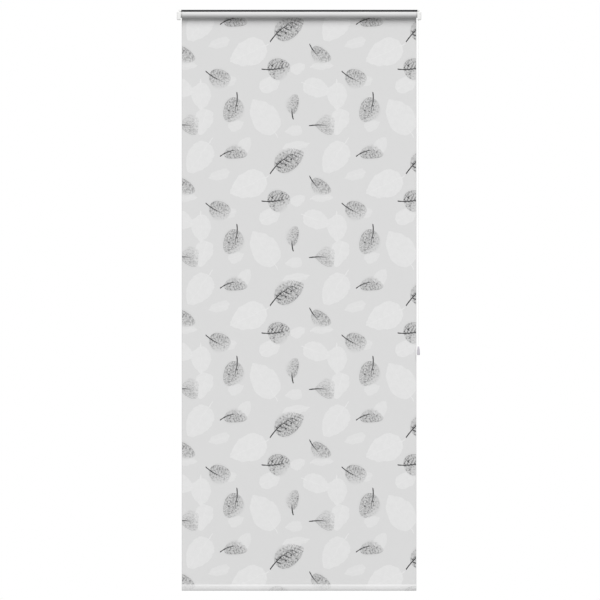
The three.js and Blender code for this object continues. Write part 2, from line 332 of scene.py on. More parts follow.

# %% [markdown]
# The print is a straight repeat of eight dark skeleton leaves over a scatter of pale leaf
# silhouettes. Each dark leaf is charted as one row of measures, in millimetres, degrees and
# shares of the blade's length. The stem end and the direction place it. The bend is how far the
# midrib arches, and the two widths are how far the blade reaches on either side of the midrib.
# The last columns give the side that is inked firmly and the strength of each part of the drawing.

# %% Chart of the dark leaves
REPEAT = (562.0, 545.0)
DARK_LEAF = ("x", "z", "direction", "length", "stalk", "bend", "above", "below", "base", "tip")
DARK_LEAF += ("crisp", "ink", "spots", "veins", "rib")
DARK_LEAVES = [
    (-120, -678, 29, 134, 0.23, 0.09, 0.24, 0.42, 0.5, 0.7, -0.8, 1.0, 1.0, 1.0, 0.72),
    (43, -141, -32, 92, 0.20, -0.12, 0.38, 0.26, 0.5, 0.6, 1, 0.85, 0.8, 0.25, 0.45),
    (-155, -245, 10, 94, 0.26, -0.05, 0.46, 0.48, 0.5, 0.65, 0.7, 1.0, 1.0, 1.0, 0.85),
    (-386, -253, -20, 91, 0.21, -0.08, 0.47, 0.36, 0.5, 0.5, 0.7, 0.85, 0.8, 0.3, 0.65),
    (-257, -340, -113, 107, 0.21, 0.10, 0.33, 0.43, 0.5, 0.6, -0.7, 0.88, 1.0, 0.3, 0.6),
    (-24, -453, 80, 84, 0.25, 0.08, 0.27, 0.30, 0.5, 0.5, -1, 0.8, 0.9, 0.2, 0.35),
    (41, -479, -5, 84, 0.26, 0.04, 0.60, 0.46, 1.0, 0.35, -0.4, 0.65, 0.1, 0.15, 0.7),
    (-327, -606, -1, 97, 0.17, 0.15, 0.20, 0.35, 0.5, 0.6, -1, 0.9, 0.9, 0.25, 0.6),
]


def midrib(along, bend):
    """How far the midrib arches at a share of the blade's length, negative on the stalk."""
    return 4 * bend * along * (1 - along)


def fullest(base, tip):
    """Scales x ** base * (1 - x) ** tip to reach exactly 1 at its widest."""
    widest = base / (base + tip)
    return 1 / (widest**base * (1 - widest) ** tip)


def blade_base(leaf):
    """Where the blade starts, found from the stem end back along the stalk."""
    turn = math.radians(leaf["direction"])
    along = -leaf["stalk"] * leaf["length"]
    across = midrib(-leaf["stalk"], leaf["bend"]) * leaf["length"]
    x = leaf["x"] - along * math.cos(turn) + across * math.sin(turn)
    z = leaf["z"] - along * math.sin(turn) - across * math.cos(turn)
    return x, z


dark_leaves = [dict(zip(DARK_LEAF, row)) for row in DARK_LEAVES]
print(len(dark_leaves), "dark leaves in a repeat of", REPEAT, "mm")

# %% [markdown]
# A point of the cloth lies on one dark leaf at most. So the pattern does not draw eight leaves: it
# finds the leaf that the point belongs to, passes on the point's place on that leaf with the leaf's
# measures, and draws a single leaf from them. Wrapping the place to the size of the repeat makes
# the print go on for ever both ways.

# %% Find the leaf under a point
REACH = (0.4, 0.8, 0.6)  # a leaf's field: its middle along the blade, half its length and width
SHIFT = 431.0  # mm from one leaf's patch of the vein patterns to the next leaf's


def place_on_leaf(tree, cloth_mm, x, z, direction, depth=0.0):
    """The point in a leaf's own frame: X along the blade from its base, Y across it, in mm."""
    half = (REPEAT[0] / 2, REPEAT[1] / 2, 1e5)
    apart = node(tree, "VectorMath SUBTRACT", [cloth_mm, (x, z, -depth)])
    wrapped = node(tree, "VectorMath WRAP", [apart, half, tuple(-h for h in half)])
    turn = {"Vector": wrapped, "Angle": -math.radians(direction)}
    return node(tree, "VectorRotate", turn, rotation_type="Z_AXIS")


def nearest_leaf(tree, cloth_mm):
    """The place on the leaf under the point, and the leaf's measures in four vectors."""
    chosen = [(1000.0, 1000.0, 0.0), (0.01, 0, 0), (0, 0, 1), (1, 0, 0), (0, 1, 0)]
    for i, leaf in enumerate(dark_leaves):
        place = place_on_leaf(tree, cloth_mm, *blade_base(leaf), leaf["direction"], i * SHIFT)
        size = leaf["length"]
        middle, half_length, half_width = (share * size for share in REACH)
        spread = (1 / half_length, 1 / half_width, 0)
        shift = (-middle / half_length, 0, 0)
        field = node(tree, "VectorMath MULTIPLY_ADD", [place, spread, shift])
        distance = node(tree, "VectorMath LENGTH", [field])
        inside = node(tree, "Math LESS_THAN", [distance, 1.0])
        wide = fullest(leaf["base"], leaf["tip"])
        measures = [
            (1 / size, leaf["above"] * wide, leaf["below"] * wide),
            (leaf["bend"], leaf["stalk"], leaf["tip"]),
            (leaf["crisp"], leaf["ink"], leaf["spots"]),
            (leaf["veins"], leaf["rib"], leaf["base"]),
        ]
        for k, new in enumerate([place, *measures]):
            chosen[k] = node(tree, "Mix VECTOR", [inside, chosen[k], new])
    return chosen


# %% [markdown]
# A skeleton leaf is what is left when a leaf's soft tissue has rotted away: a firm stalk and
# midrib, side veins that curve towards the tip, and a fine net between them. On this print each
# leaf is inked firmly on one side and fades out on the other. So distances from the midrib and the
# outline are measured first, and each layer of ink is a threshold on them.

# %% Draw one skeleton leaf
VEIN_SPACING = 0.155  # of the blade's length
VEIN_LEAN, VEIN_CURVE = 0.65, 0.6  # how far a side vein runs on for its way out, and how it curves
LACE, THREADS, SPOT_CELL, PATCH, RAGGED = 11.0, 2.4, 15.0, 16.0, 9.0  # mm
STALK_HALF, RIB_HALF, RIB_END = 2.4, 2.3, 0.8  # mm


def skeleton_leaf(tree, leaf):
    """How much dark ink lies under the point, from 0 to 1."""
    add = partial(node, tree)
    local, size, wide, look, more = (add("SeparateXYZ", [part]) for part in leaf)
    share, above, below = size.outputs
    bend, stalk, tip = wide.outputs
    crisp, ink, spots = look.outputs
    veins, rib_reach, base = more.outputs

    # along the blade from 0 to 1, and across it from the midrib, in shares of the length
    along = add(TIMES, [local.outputs["X"], share])
    across = add(TIMES, [local.outputs["Y"], share])
    left_over = add(MINUS, [1.0, along])
    arch = add(TIMES, [along, left_over, add(TIMES, [bend, 4.0])])
    from_rib = add(MINUS, [across, arch])
    away = add(ABSOLUTE, [from_rib])
    away_mm = add(OVER, [away, share])
    upper = add("Math GREATER_THAN", [from_rib, 0.0])

    # each leaf takes its own patch of the patterns, which are given as place, scale and detail
    shift = add("CombineXYZ", [local.outputs["Z"], local.outputs["Z"], 0.0])
    spot_on_print = add("VectorMath ADD", [leaf[0], shift])

    # the firm side keeps its ink, and the other loses it outward and towards the tip
    firm_side = add(TIMES, [from_rib, crisp])
    near_base = add(SMOOTH, [along, 0.75, 0.15, 0.0, 0.7])
    firm = add(LARGEST, [add(SMOOTH, [firm_side, -0.3, 0.03, 0.12]), near_base])
    firm = add(TIMES, [firm, add(SMOOTH, [along, 1.15, 0.5, 0.55])])

    # the outline, and how far inside it the point is, in mm, more ragged where the ink fades
    inner = add(PLUS, [along, 0.0], use_clamp=True)
    outer = add(PLUS, [left_over, 0.0], use_clamp=True)
    swell = add(TIMES, [add(POWER, [inner, base]), add(POWER, [outer, tip])])
    half = add(TIMES, [add("Mix FLOAT", [upper, below, above]), swell])
    true_inside = add(OVER, [add(MINUS, [half, away]), share])
    stray = add(MINUS, [add(NOISE, [spot_on_print, 1 / RAGGED, 2.0]), 0.5])
    rough = add(TIMES, [stray, add(SMOOTH, [firm, 0.2, 0.9, 22.0, 5.0])])
    inside_mm = add(PLUS, [true_inside, rough])
    ends = add(TIMES, [add(SMOOTH, [along, -0.03, 0.03]), add(SMOOTH, [left_over, -0.02, 0.04])])
    blade = add(TIMES, [add(SMOOTH, [inside_mm, -0.5, 1.5]), ends])

    # soft tissue: patches, a lace of coarse cells that comes and goes, and fine threads between
    patch = add(SMOOTH, [add(NOISE, [spot_on_print, 1 / PATCH, 3.0]), 0.38, 0.66, 0.03, 0.4])
    net = {"feature": "DISTANCE_TO_EDGE"}
    lace = add(SMOOTH, [add(CELLS, [spot_on_print, 1 / LACE], **net), 0.2, 0.04, 0.0, 0.85])
    comes_and_goes = add(NOISE, [spot_on_print, 2 / PATCH, 2.0])
    lace = add(TIMES, [lace, add(SMOOTH, [comes_and_goes, 0.4, 0.62, 0.3])])
    threads = add(SMOOTH, [add(CELLS, [spot_on_print, 1 / THREADS], **net), 0.16, 0.05, 0.0, 0.3])
    off_rim = add(ABSOLUTE, [add(MINUS, [inside_mm, 1.4])])
    rim = add(TIMES, [add(SMOOTH, [off_rim, 2.2, 0.4]), 0.55])

    # side veins: lines of equal start on the midrib, those on one side set half a step on
    lean = add(TIMES, [away, add(PLUS, [VEIN_LEAN, add(TIMES, [away, VEIN_CURVE])])])
    uneven = add(TIMES, [add(NOISE, [spot_on_print, 1 / PATCH, 1.0]), 0.35])
    start = add(PLUS, [add(OVER, [add(MINUS, [along, lean]), VEIN_SPACING]), uneven])
    step = add("Math FRACT", [add(PLUS, [start, add(TIMES, [upper, 0.5])])])
    off_vein = add(ABSOLUTE, [add(MINUS, [step, 0.5])])
    worn = add(NOISE, [spot_on_print, 1 / PATCH, 2.0])
    vein_parts = [
        add(SMOOTH, [off_vein, 0.18, 0.08]),
        add(SMOOTH, [away_mm, 36.0, 14.0, 0.2]),
        add(SMOOTH, [firm_side, -0.1, 0.01, 0.3]),
        add(SMOOTH, [worn, 0.38, 0.58, 0.75, 1.0]),
        add(SMOOTH, [veins, 0.0, 1.0, 0.4, 1.0]),
    ]
    vein = add(TIMES, vein_parts)

    # round dark spots, each of its own size, and none in some of the cells
    dots = add(CELLS, [spot_on_print, 1 / SPOT_CELL])
    pick = add("SeparateXYZ", [dots.outputs["Color"]])
    dot_size = add(SMOOTH, [pick.outputs["X"], 0.25, 1.0, 0.0, 0.26])
    spot = add(SMOOTH, [add(MINUS, [dot_size, dots.outputs["Distance"]]), -0.05, 0.05])
    spot = add(TIMES, [spot, spots, 0.95])

    tissue = add(TIMES, [add(LARGEST, [patch, lace, threads, rim, vein, spot]), blade, firm])
    haze = add(TIMES, [add(SMOOTH, [true_inside, -12.0, 8.0]), add(SMOOTH, [along, 1.2, 0.3, 0.0, 0.14])])
    haze = add(TIMES, [haze, add(SMOOTH, [along, -0.12, 0.1])])
    soft_ink = add(TIMES, [add(LARGEST, [tissue, haze]), ink])

    # the stalk and midrib, inked most firmly of all, with a small knob at the stalk's end
    thick = add(SMOOTH, [along, 0.0, rib_reach, RIB_HALF, RIB_END])
    thick = add(LARGEST, [thick, add(SMOOTH, [along, -0.02, -0.1, 0.0, STALK_HALF])])
    knobs = add(NOISE, [spot_on_print, 1 / LACE, 2.0])
    thick = add(TIMES, [thick, add(SMOOTH, [knobs, 0.3, 0.7, 0.8, 1.15])])
    rib = add(SMOOTH, [add(MINUS, [thick, away_mm]), -0.5, 0.5])
    rib_start = add("Math GREATER_THAN", [along, add(TIMES, [stalk, -1.0])])
    rib_fade = add(SMOOTH, [add(MINUS, [rib_reach, along]), -0.1, 0.25])
    rib_ink = add(TIMES, [rib, rib_start, rib_fade])

    return add(LARGEST, [soft_ink, rib_ink], use_clamp=True)


# %% [markdown]
# The pale leaves are silhouettes, one shade lighter than the ground, that lie over each other like
# shadows. Their veins are faint, so a small group of nodes draws one of them, and the lightest
# wins where they overlap. A group keeps the material short: it is written once and used for each.

# %% Pale leaf silhouettes
PALE_LEAF = ("x", "z", "direction", "length", "width", "stalk", "shade")
PALE_LEAVES = [  # the middle of the blade, mm and degrees, and how pale it is
    (-414, -612, 235, 148, 106, 26, 0.9),
    (-331, -683, 195, 92, 48, 0, 0.7),
    (-211, -724, 205, 165, 112, 12, 1.0),
    (-120, -307, 30, 92, 70, 0, 0.9),
    (74, -323, 340, 118, 80, 14, 0.9),
    (-405, -358, 272, 112, 84, 18, 0.9),
    (-396, -462, 254, 112, 78, 0, 0.9),
    (-145, -440, 124, 166, 116, 20, 0.9),
    (-21, -501, 180, 72, 48, 0, 0.7),
    (-13, -563, 10, 114, 41, 0, 0.75),
    (-224, -559, 60, 78, 54, 0, 0.7),
    (-5, -240, 30, 68, 48, 0, 0.8),
    (99, -232, 5, 92, 34, 10, 0.7),
    (-261, -476, 20, 70, 48, 0, 0.7),
    (-281, -294, 10, 54, 40, 0, 0.6),
]
PALE_BASE, PALE_TIP = 0.52, 0.75
WOBBLE, WOBBLE_CELL = 8.0, 30.0  # mm: how far an outline strays, and over what distance
TOOTH, TOOTH_DEPTH = 9.0, 2.2  # mm of the toothed outline
PALE_VEINS, MOTTLE = 15.0, 18.0  # mm between side veins, and from patch to patch
STALK_RUN_IN = 6.0  # mm of the stalk that lie on the blade


def silhouette_group():
    """Turns a place on a leaf, its length, half width and stalk, in mm, into a mask."""
    group = bpy.data.node_groups.new("pale_silhouette", "ShaderNodeTree")
    group.interface.new_socket("Place", in_out="INPUT", socket_type="NodeSocketVector")
    for name in ("Length", "Half Width", "Stalk"):
        group.interface.new_socket(name, in_out="INPUT", socket_type="NodeSocketFloat")
    group.interface.new_socket("Mask", in_out="OUTPUT", socket_type="NodeSocketFloat")
    place, length, half, stalk = group.nodes.new("NodeGroupInput").outputs[:4]
    add = partial(node, group)

    # each leaf takes its own patch of the patterns, and its outline strays by one of them
    patch = add("CombineXYZ", [add(TIMES, [length, 3.0]), add(TIMES, [half, 7.0]), 0.0])
    spot_on_print = add("VectorMath ADD", [place, patch])
    stray = add(NOISE, [spot_on_print, 1 / WOBBLE_CELL, 3.0]).outputs["Color"]
    stray = add("VectorMath SUBTRACT", [stray, (0.5, 0.5, 0.5)])
    stray = add("VectorMath SCALE", {0: stray, "Scale": 2 * WOBBLE})
    reach, side = add("SeparateXYZ", [add("VectorMath ADD", [place, stray])]).outputs[:2]
    along = add(OVER, [reach, length])
    away = add(ABSOLUTE, [side])
    rest = add(MINUS, [1.0, along], use_clamp=True)
    inner = add(PLUS, [along, 0.0], use_clamp=True)
    swell = add(TIMES, [add(POWER, [inner, PALE_BASE]), add(POWER, [rest, PALE_TIP])])
    full = add(TIMES, [half, fullest(PALE_BASE, PALE_TIP)])
    tooth = add(TIMES, [add("Math FRACT", [add(OVER, [reach, TOOTH])]), TOOTH_DEPTH])
    edge = add(MINUS, [add(TIMES, [swell, full]), add(PLUS, [away, tooth])])

    # the blade is paler in patches, along its midrib and along its side veins
    mottle = add(NOISE, [spot_on_print, 1 / MOTTLE, 2.0])
    start = add(OVER, [add(MINUS, [reach, away]), PALE_VEINS])
    off_vein = add(ABSOLUTE, [add(MINUS, [add("Math FRACT", [start]), 0.5])])
    side_veins = add(SMOOTH, [off_vein, 0.12, 0.04, 0.0, 0.1])
    veins = add(LARGEST, [side_veins, add(SMOOTH, [away, 2.6, 0.8, 0.0, 0.24])])
    tone = add(PLUS, [add(SMOOTH, [mottle, 0.35, 0.65, 0.63, 0.80]), veins])
    blade = add(TIMES, [add(SMOOTH, [edge, -1.5, 2.0]), tone])

    on_stalk = add("Math LESS_THAN", [reach, STALK_RUN_IN])
    before_end = add("Math GREATER_THAN", [reach, add(TIMES, [stalk, -1.0])])
    stem = add(TIMES, [on_stalk, before_end, add("MapRange", [away, 2.6, 1.2])])
    feed(group, group.nodes.new("NodeGroupOutput"), [add(LARGEST, [blade, stem])])
    return group


def pale_leaves(tree, cloth_mm):
    """How pale the ground is under the point, from 0 to 1."""
    group = silhouette_group()
    shades = []
    for row in PALE_LEAVES:
        leaf = dict(zip(PALE_LEAF, row))
        turn = math.radians(leaf["direction"])
        x = leaf["x"] - leaf["length"] / 2 * math.cos(turn)
        z = leaf["z"] - leaf["length"] / 2 * math.sin(turn)
        place = place_on_leaf(tree, cloth_mm, x, z, leaf["direction"])
        measures = [place, leaf["length"], leaf["width"] / 2, leaf["stalk"]]
        mask = node(tree, "Group", measures, node_tree=group)
        shades.append(node(tree, TIMES, [mask, leaf["shade"]]))
    return node(tree, LARGEST, shades)


# %% [markdown]
# The cloth is woven polyester with a thin water-repellent coat, printed on one face. The coat fills
# the weave, so the face is smooth and only just matt. The threads lie about 0.3 mm apart and are
# drawn at 0.9 mm, the coarsest that still reads as cloth. The cut edges are sealed with heat, and
# each side edge of the face is drawn in a thin, slightly darker band. The hem band is drawn paler,
# with the print veiled, as a painted highlight on the hem.

# %% Cloth materials
CLOTH_WIDTH = 969.0
GROUND, PALE, INK = "#D9D9D9", "#E5E5E5", "#252527"
REVERSE, CUT_EDGE = "#D6D6D6", "#C0C0C0"
THREAD = 0.9
DARK_EDGE_BAND = 1.6  # mm of each side edge
SHOW_THROUGH = 0.10  # how much of the print's ink shows on the reverse
# the hem band's painted highlight: where it starts, how much ink it veils and its paler ground
HEM_HEIGHT, HEM_HIGHLIGHT_VEIL, HEM_HIGHLIGHT_GROUND = -2374.0, 0.65, "#DDDDDD"  # mm, and share of the ink veiled
WELD_RIB, WELD_MIDDLE, WELD_HALF = 0.8, -2373.3, 1.3  # mm


def cloth_material(name, ground, pale, ink, ink_share, roughness):
    """Coated polyester in the colours of its ground, its pale leaves and the ink that shows."""
    material, tree, shader = new_material(name)
    add = partial(node, tree)
    chart = add("UVMap", uv_map="cloth_metres")
    cloth_mm = add("VectorMath SCALE", {0: chart, "Scale": 1 / MM})
    across, height = add("SeparateXYZ", [cloth_mm]).outputs[:2]
    dark_share = skeleton_leaf(tree, nearest_leaf(tree, cloth_mm))
    # painted highlight: the hem band is drawn paler and its print veiled
    hem_highlight = add("MapRange", [height, HEM_HEIGHT + 0.5, HEM_HEIGHT - 0.5, 0.0, HEM_HIGHLIGHT_VEIL])
    dark_share = add(TIMES, [dark_share, ink_share, add(MINUS, [1.0, hem_highlight])])
    colour = add("Mix RGBA", [pale_leaves(tree, cloth_mm), linear(ground), linear(pale)])
    colour = add("Mix RGBA", [hem_highlight, colour, linear(HEM_HIGHLIGHT_GROUND)])
    colour = add("Mix RGBA", [dark_share, colour, linear(ink)])
    # each side edge of the face is drawn in a darker grey band, 1.6 mm wide
    edge = CLOTH_WIDTH / 2
    dark_edge = add("MapRange", [add(ABSOLUTE, [across]), edge - DARK_EDGE_BAND, edge - DARK_EDGE_BAND / 2])
    colour = add("Mix RGBA", [dark_edge, colour, linear(CUT_EDGE)])

    turns = [add(TIMES, [way, 2 * math.pi / THREAD]) for way in (across, height)]
    weave = add(TIMES, [add("Math SINE", [turn]) for turn in turns])
    bump = add("Bump", {"Height": weave, "Strength": 0.25, "Distance": 0.04 * MM})

    # the weld above the hem: fine ribs pressed across a band as high as the overlap
    rib = add("Math SINE", [add(TIMES, [height, 2 * math.pi / WELD_RIB])])
    from_weld = add(ABSOLUTE, [add(PLUS, [height, -WELD_MIDDLE])])
    pressed = add(TIMES, [rib, add("Math LESS_THAN", [from_weld, WELD_HALF])])
    bump = add("Bump", {"Height": pressed, "Strength": 0.5, "Distance": 0.1 * MM, "Normal": bump})
    look = {"Base Color": colour, "Roughness": roughness, "Normal": bump}
    feed(tree, shader, {**look, "Specular IOR Level": 0.25})
    return material


printed_face = cloth_material("printed_coated_polyester", GROUND, PALE, INK, 1.0, 0.62)
plain_reverse = cloth_material("plain_polyester_reverse", REVERSE, REVERSE, INK, SHOW_THROUGH, 0.75)

cut_edge, edge_tree, edge_shader = new_material("heat_sealed_polyester")
edge_place = node(edge_tree, "TexCoord").outputs["Object"]
edge_grain = node(edge_tree, "TexNoise", [edge_place, 1 / (2 * MM), 2.0])
edge_tint = node(edge_tree, "Mix RGBA", [edge_grain, linear("#B4B4B4"), linear("#CFCFCF")])
feed(edge_tree, edge_shader, {"Base Color": edge_tint, "Roughness": 0.55})
print("printed face has", len(printed_face.node_tree.nodes), "nodes")

# %% [markdown]
# The cloth is one length. Its inner end lies on the tube, a few turns wind outward, and it leaves
# the back of the roll, so its reverse shows on the roll and its print on the drop. At the foot it
# wraps a flat oval bar and is welded to itself. The printed face is drawn as one line seen from the
# side, then swept across the width, and Solidify adds the thickness behind it. The map gives the
# height on the drop, so the print stands where it should.

# %% Side line of the cloth
AXIS_Y, AXIS_Z = -3.0, -18.5
ROLL_RADIUS = 14.5
THICKNESS = 0.33
TURNS, TURN_PITCH, TURN_STEPS = 3.75, 0.40, 56
BAR_Y, BAR_Z = 11.5, -2387.6
HEM_HALF = (2.6, 12.4)
SEAM_BOTTOM, HEM_TOP = -2374.6, -2372.1
DROP_STEP, HEM_STEPS = 30.0, 44
SEAM_GAP = 0.03


def roll_line():
    steps = round(TURNS * TURN_STEPS)
    for i in range(steps + 1):
        turn = TURNS * (1 - i / steps)
        radius = ROLL_RADIUS - THICKNESS - TURN_PITCH * turn
        angle = 2 * math.pi * turn
        yield AXIS_Y + radius * math.cos(angle), AXIS_Z + radius * math.sin(angle)


def hem_line(apex):
    """Round the bar, from and to a point apex in front of and behind the bar's middle plane."""
    up = (SEAM_BOTTOM - BAR_Z) / HEM_HALF[1]
    across = apex / HEM_HALF[0]
    touch = math.atan2(up, -across) + math.acos(1 / math.hypot(across, up))
    for i in range(HEM_STEPS + 1):
        angle = touch + (3 * math.pi - 2 * touch) * i / HEM_STEPS
        yield BAR_Y + HEM_HALF[0] * math.cos(angle), BAR_Z + HEM_HALF[1] * math.sin(angle)


front_y = BAR_Y - THICKNESS
drop_steps = round((AXIS_Z - SEAM_BOTTOM) / DROP_STEP)
drop_line = [
    (front_y, AXIS_Z + (SEAM_BOTTOM - AXIS_Z) * i / drop_steps) for i in range(1, drop_steps + 1)
]
# points close before and after each bend keep its shading from running up the flat drop
drop_line[:0] = [(front_y, AXIS_Z - 1.0)]
drop_line[-1:] = [(front_y, SEAM_BOTTOM + 1.0), (front_y, SEAM_BOTTOM)]
back_y = BAR_Y + THICKNESS + SEAM_GAP
side_line = [*roll_line(), *drop_line, *hem_line(THICKNESS), (back_y, SEAM_BOTTOM), (back_y, HEM_TOP)]
runs = [0.0]
for (y0, z0), (y1, z1) in zip(side_line, side_line[1:]):
    runs.append(runs[-1] + math.hypot(y1 - y0, z1 - z0))
leaves_roll = runs[round(TURNS * TURN_STEPS)]
heights = [AXIS_Z - (run - leaves_roll) for run in runs]

# %% [markdown]
# A cloth that is rolled and unrolled curls forward along its side edges by a millimetre or so, more
# in the middle of the drop than near the roll and the bar that hold it flat. It keeps the long
# edges from looking like a cut board.

# %% Sweep the cloth
EDGE_CURL, CURL_WIDTH = 1.1, 34.0
columns = [-484.5, -483.0, -478, -472, -464, -455, -440, -400, -330, -250, -165, -80, 0]
columns += [-x for x in columns[-2::-1]]


def curl(x, z):
    """How far the cloth's side edge comes forward, in mm."""
    near_edge = max(0.0, abs(x) - (CLOTH_WIDTH / 2 - CURL_WIDTH)) / CURL_WIDTH
    down = (AXIS_Z - z) / (AXIS_Z - SEAM_BOTTOM)
    free = math.sin(math.pi * min(1.0, max(0.0, down))) ** 0.6
    return EDGE_CURL * free * near_edge**2


cloth_bm = bmesh.new()
height_layer = cloth_bm.verts.layers.float.new("height")
line_verts = [cloth_bm.verts.new((columns[0] * MM, y * MM, z * MM)) for y, z in side_line]
for vert, height in zip(line_verts, heights):
    vert[height_layer] = height * MM
edge_line = [cloth_bm.edges.new(pair) for pair in zip(line_verts, line_verts[1:])]
for before, x in zip(columns, columns[1:]):
    swept = bmesh.ops.extrude_edge_only(cloth_bm, edges=edge_line)["geom"]
    moved = [item for item in swept if isinstance(item, bmesh.types.BMVert)]
    edge_line = [item for item in swept if isinstance(item, bmesh.types.BMEdge)]
    bmesh.ops.translate(cloth_bm, verts=moved, vec=((x - before) * MM, 0, 0))

chart = cloth_bm.loops.layers.uv.new("cloth_metres")
for face in cloth_bm.faces:
    for loop in face.loops:
        loop[chart].uv = (loop.vert.co.x, loop.vert[height_layer])
for vert in cloth_bm.verts:
    on_drop = abs(vert.co.y - front_y * MM) < MERGE and vert.co.z < AXIS_Z * MM
    if on_drop:
        vert.co.y -= curl(vert.co.x / MM, vert.co.z / MM) * MM
on_the_drop = Vector((0, 0.011, -1.2))
nearest = min(cloth_bm.faces, key=lambda face: (face.calc_center_median() - on_the_drop).length)
nearest.normal_update()
if nearest.normal.y > 0:
    bmesh.ops.reverse_faces(cloth_bm, faces=cloth_bm.faces)

cloth_faces = [printed_face, plain_reverse, cut_edge]
blind_cloth = finished("blind_cloth", cloth_bm, cloth_faces, ["cloth"], clean=False)
thicken = blind_cloth.modifiers.new("cloth thickness", "SOLIDIFY")
thicken.thickness = THICKNESS * MM
thicken.offset = -1.0
thicken.material_offset = 1
thicken.material_offset_rim = 2

# %% [markdown]
# The end pieces are moulded in white ABS. A mould sparked by erosion leaves a very fine, even
# grain, about 0.3 mm, with a low, soft gloss over it. The colour drifts a little in tone, because
# thick and thin places cool at different speeds.

# %% Moulded plastics
DRIFT_CELL, PLASTIC_IOR, PLASTIC_SPREAD = 14.0, 1.53, 0.05


def moulded(name, light, dark, roughness, grain, relief):
    """A moulded plastic: two close tones, and a fine grain of that size and height in mm."""
    material, tree, shader = new_material(name)
    place = node(tree, "TexCoord").outputs["Object"]
    drift = node(tree, "TexNoise", [place, 1 / (DRIFT_CELL * MM), 2.0])
    tint = node(tree, "Mix RGBA", [drift, linear(dark), linear(light)])
    sparks = node(tree, "TexNoise", [place, 1 / (grain * MM), 3.0])
    bump = node(tree, "Bump", {"Height": sparks, "Strength": 0.4, "Distance": relief * MM})
    span = [0.0, 1.0, roughness - PLASTIC_SPREAD, roughness + PLASTIC_SPREAD]
    gloss = node(tree, "MapRange", [drift, *span])
    feed(tree, shader, {"Base Color": tint, "Roughness": gloss, "Normal": bump, "IOR": PLASTIC_IOR})
    return material


white_abs = moulded("white_moulded_abs", "#F0F0EF", "#E8E8E7", 0.38, 0.35, 0.03)
grey_acetal = moulded("grey_moulded_acetal", "#CFCFCE", "#C2C2C1", 0.42, 0.5, 0.02)
pearl_acrylic = moulded("pearl_grey_moulded_acrylic", "#CECAD2", "#B9B5BD", 0.24, 0.8, 0.01)
print("moulded plastics:", white_abs.name, grey_acetal.name, pearl_acrylic.name)

# %% [markdown]
# The rail is extruded aluminium with a dark anodised skin, and the tube and the hem bar are bare. A
# die drags fine straight lines along everything that passes through it, so the streaks are long in
# X and a fraction of a millimetre across. The eyelet and the pin are plated and turned, so their
# lines hardly show.

# %% Metals
METAL_SPREAD = 0.08


def drawn_metal(name, light, dark, roughness, across, along):
    """A metal with streaks of that width and length in mm, along X."""
    material, tree, shader = new_material(name)
    place = node(tree, "TexCoord").outputs["Object"]
    sizes = tuple(1 / (size * MM) for size in (along, across, across))
    streak_place = node(tree, "Mapping", {"Vector": place, "Scale": sizes})
    streaks = node(tree, "TexNoise", [streak_place, 1.0, 3.0])
    tint = node(tree, "Mix RGBA", [streaks, linear(dark), linear(light)])
    span = [0.0, 1.0, roughness - METAL_SPREAD, roughness + METAL_SPREAD]
    gloss = node(tree, "MapRange", [streaks, *span])
    bump = node(tree, "Bump", {"Height": streaks, "Strength": 0.2, "Distance": 0.02 * MM})
    feed(tree, shader, {"Base Color": tint, "Roughness": gloss, "Normal": bump, "Metallic": 1.0})
    return material


dark_anodised = drawn_metal("dark_anodised_extruded_aluminium", "#3A3A3C", "#2C2C2E", 0.42, 0.5, 180)
bare_aluminium = drawn_metal("drawn_aluminium", "#C9CBCE", "#B2B4B8", 0.34, 0.4, 120)
plated_steel = drawn_metal("bright_plated_steel", "#CDCECF", "#BBBCBE", 0.2, 0.6, 0.6)
print("metals:", dark_anodised.name, bare_aluminium.name, plated_steel.name)

# %% [markdown]
# The CAD model already holds the holes, hooks and hollows of the rail and the two end brackets
# exactly. What they lack is the soft edge that extrusion and moulding leave, which catches the
# light. So each is a copy of its solid: the loose triangles are merged, flat faces are made whole
# again, and a small bevel eases the edges.

# %% Rail and end brackets
def merged_copy(solid):
    """A bmesh of the CAD node with its triangles joined into whole faces."""
    bm = bmesh.new()
    bm.from_mesh(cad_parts[solid].data)
    bmesh.ops.remove_doubles(bm, verts=bm.verts, dist=2 * MERGE)
    level = math.radians(1)
    bmesh.ops.dissolve_limit(bm, angle_limit=level, verts=bm.verts, edges=bm.edges)
    return bm


rail_bm = merged_copy("head_rail")
rail = finished("rail_extrusion", rail_bm, dark_anodised, ["head_rail"], False)
eased(rail, 0.25 * MM)
for end in ("left", "right"):
    solid = "bracket_" + end
    bracket = finished("housing_" + end, merged_copy(solid), white_abs, [solid], False)
    eased(bracket, 0.3 * MM)

# %% [markdown]
# Each end is closed by a shallow cover. It starts as a rounded plate and is drawn in step by step
# towards its crown by insets that follow a quarter of an ellipse, as a dome does. Solidify then
# gives the shell its wall, inward, because the outside is the size that matters.

# %% End covers
COVER_INNER, COVER_OUTER = 498.8, 505.0
CUP_LOW, CUP_HIGH, CUP_HALF_DEPTH, CUP_CORNER = -42.5, -6.5, 18.0, 4.0
COVER_WALL, COVER_DRAW_IN, COVER_ROUNDING = 1.6, 3.6, 5.0
DOME_STEPS = 10


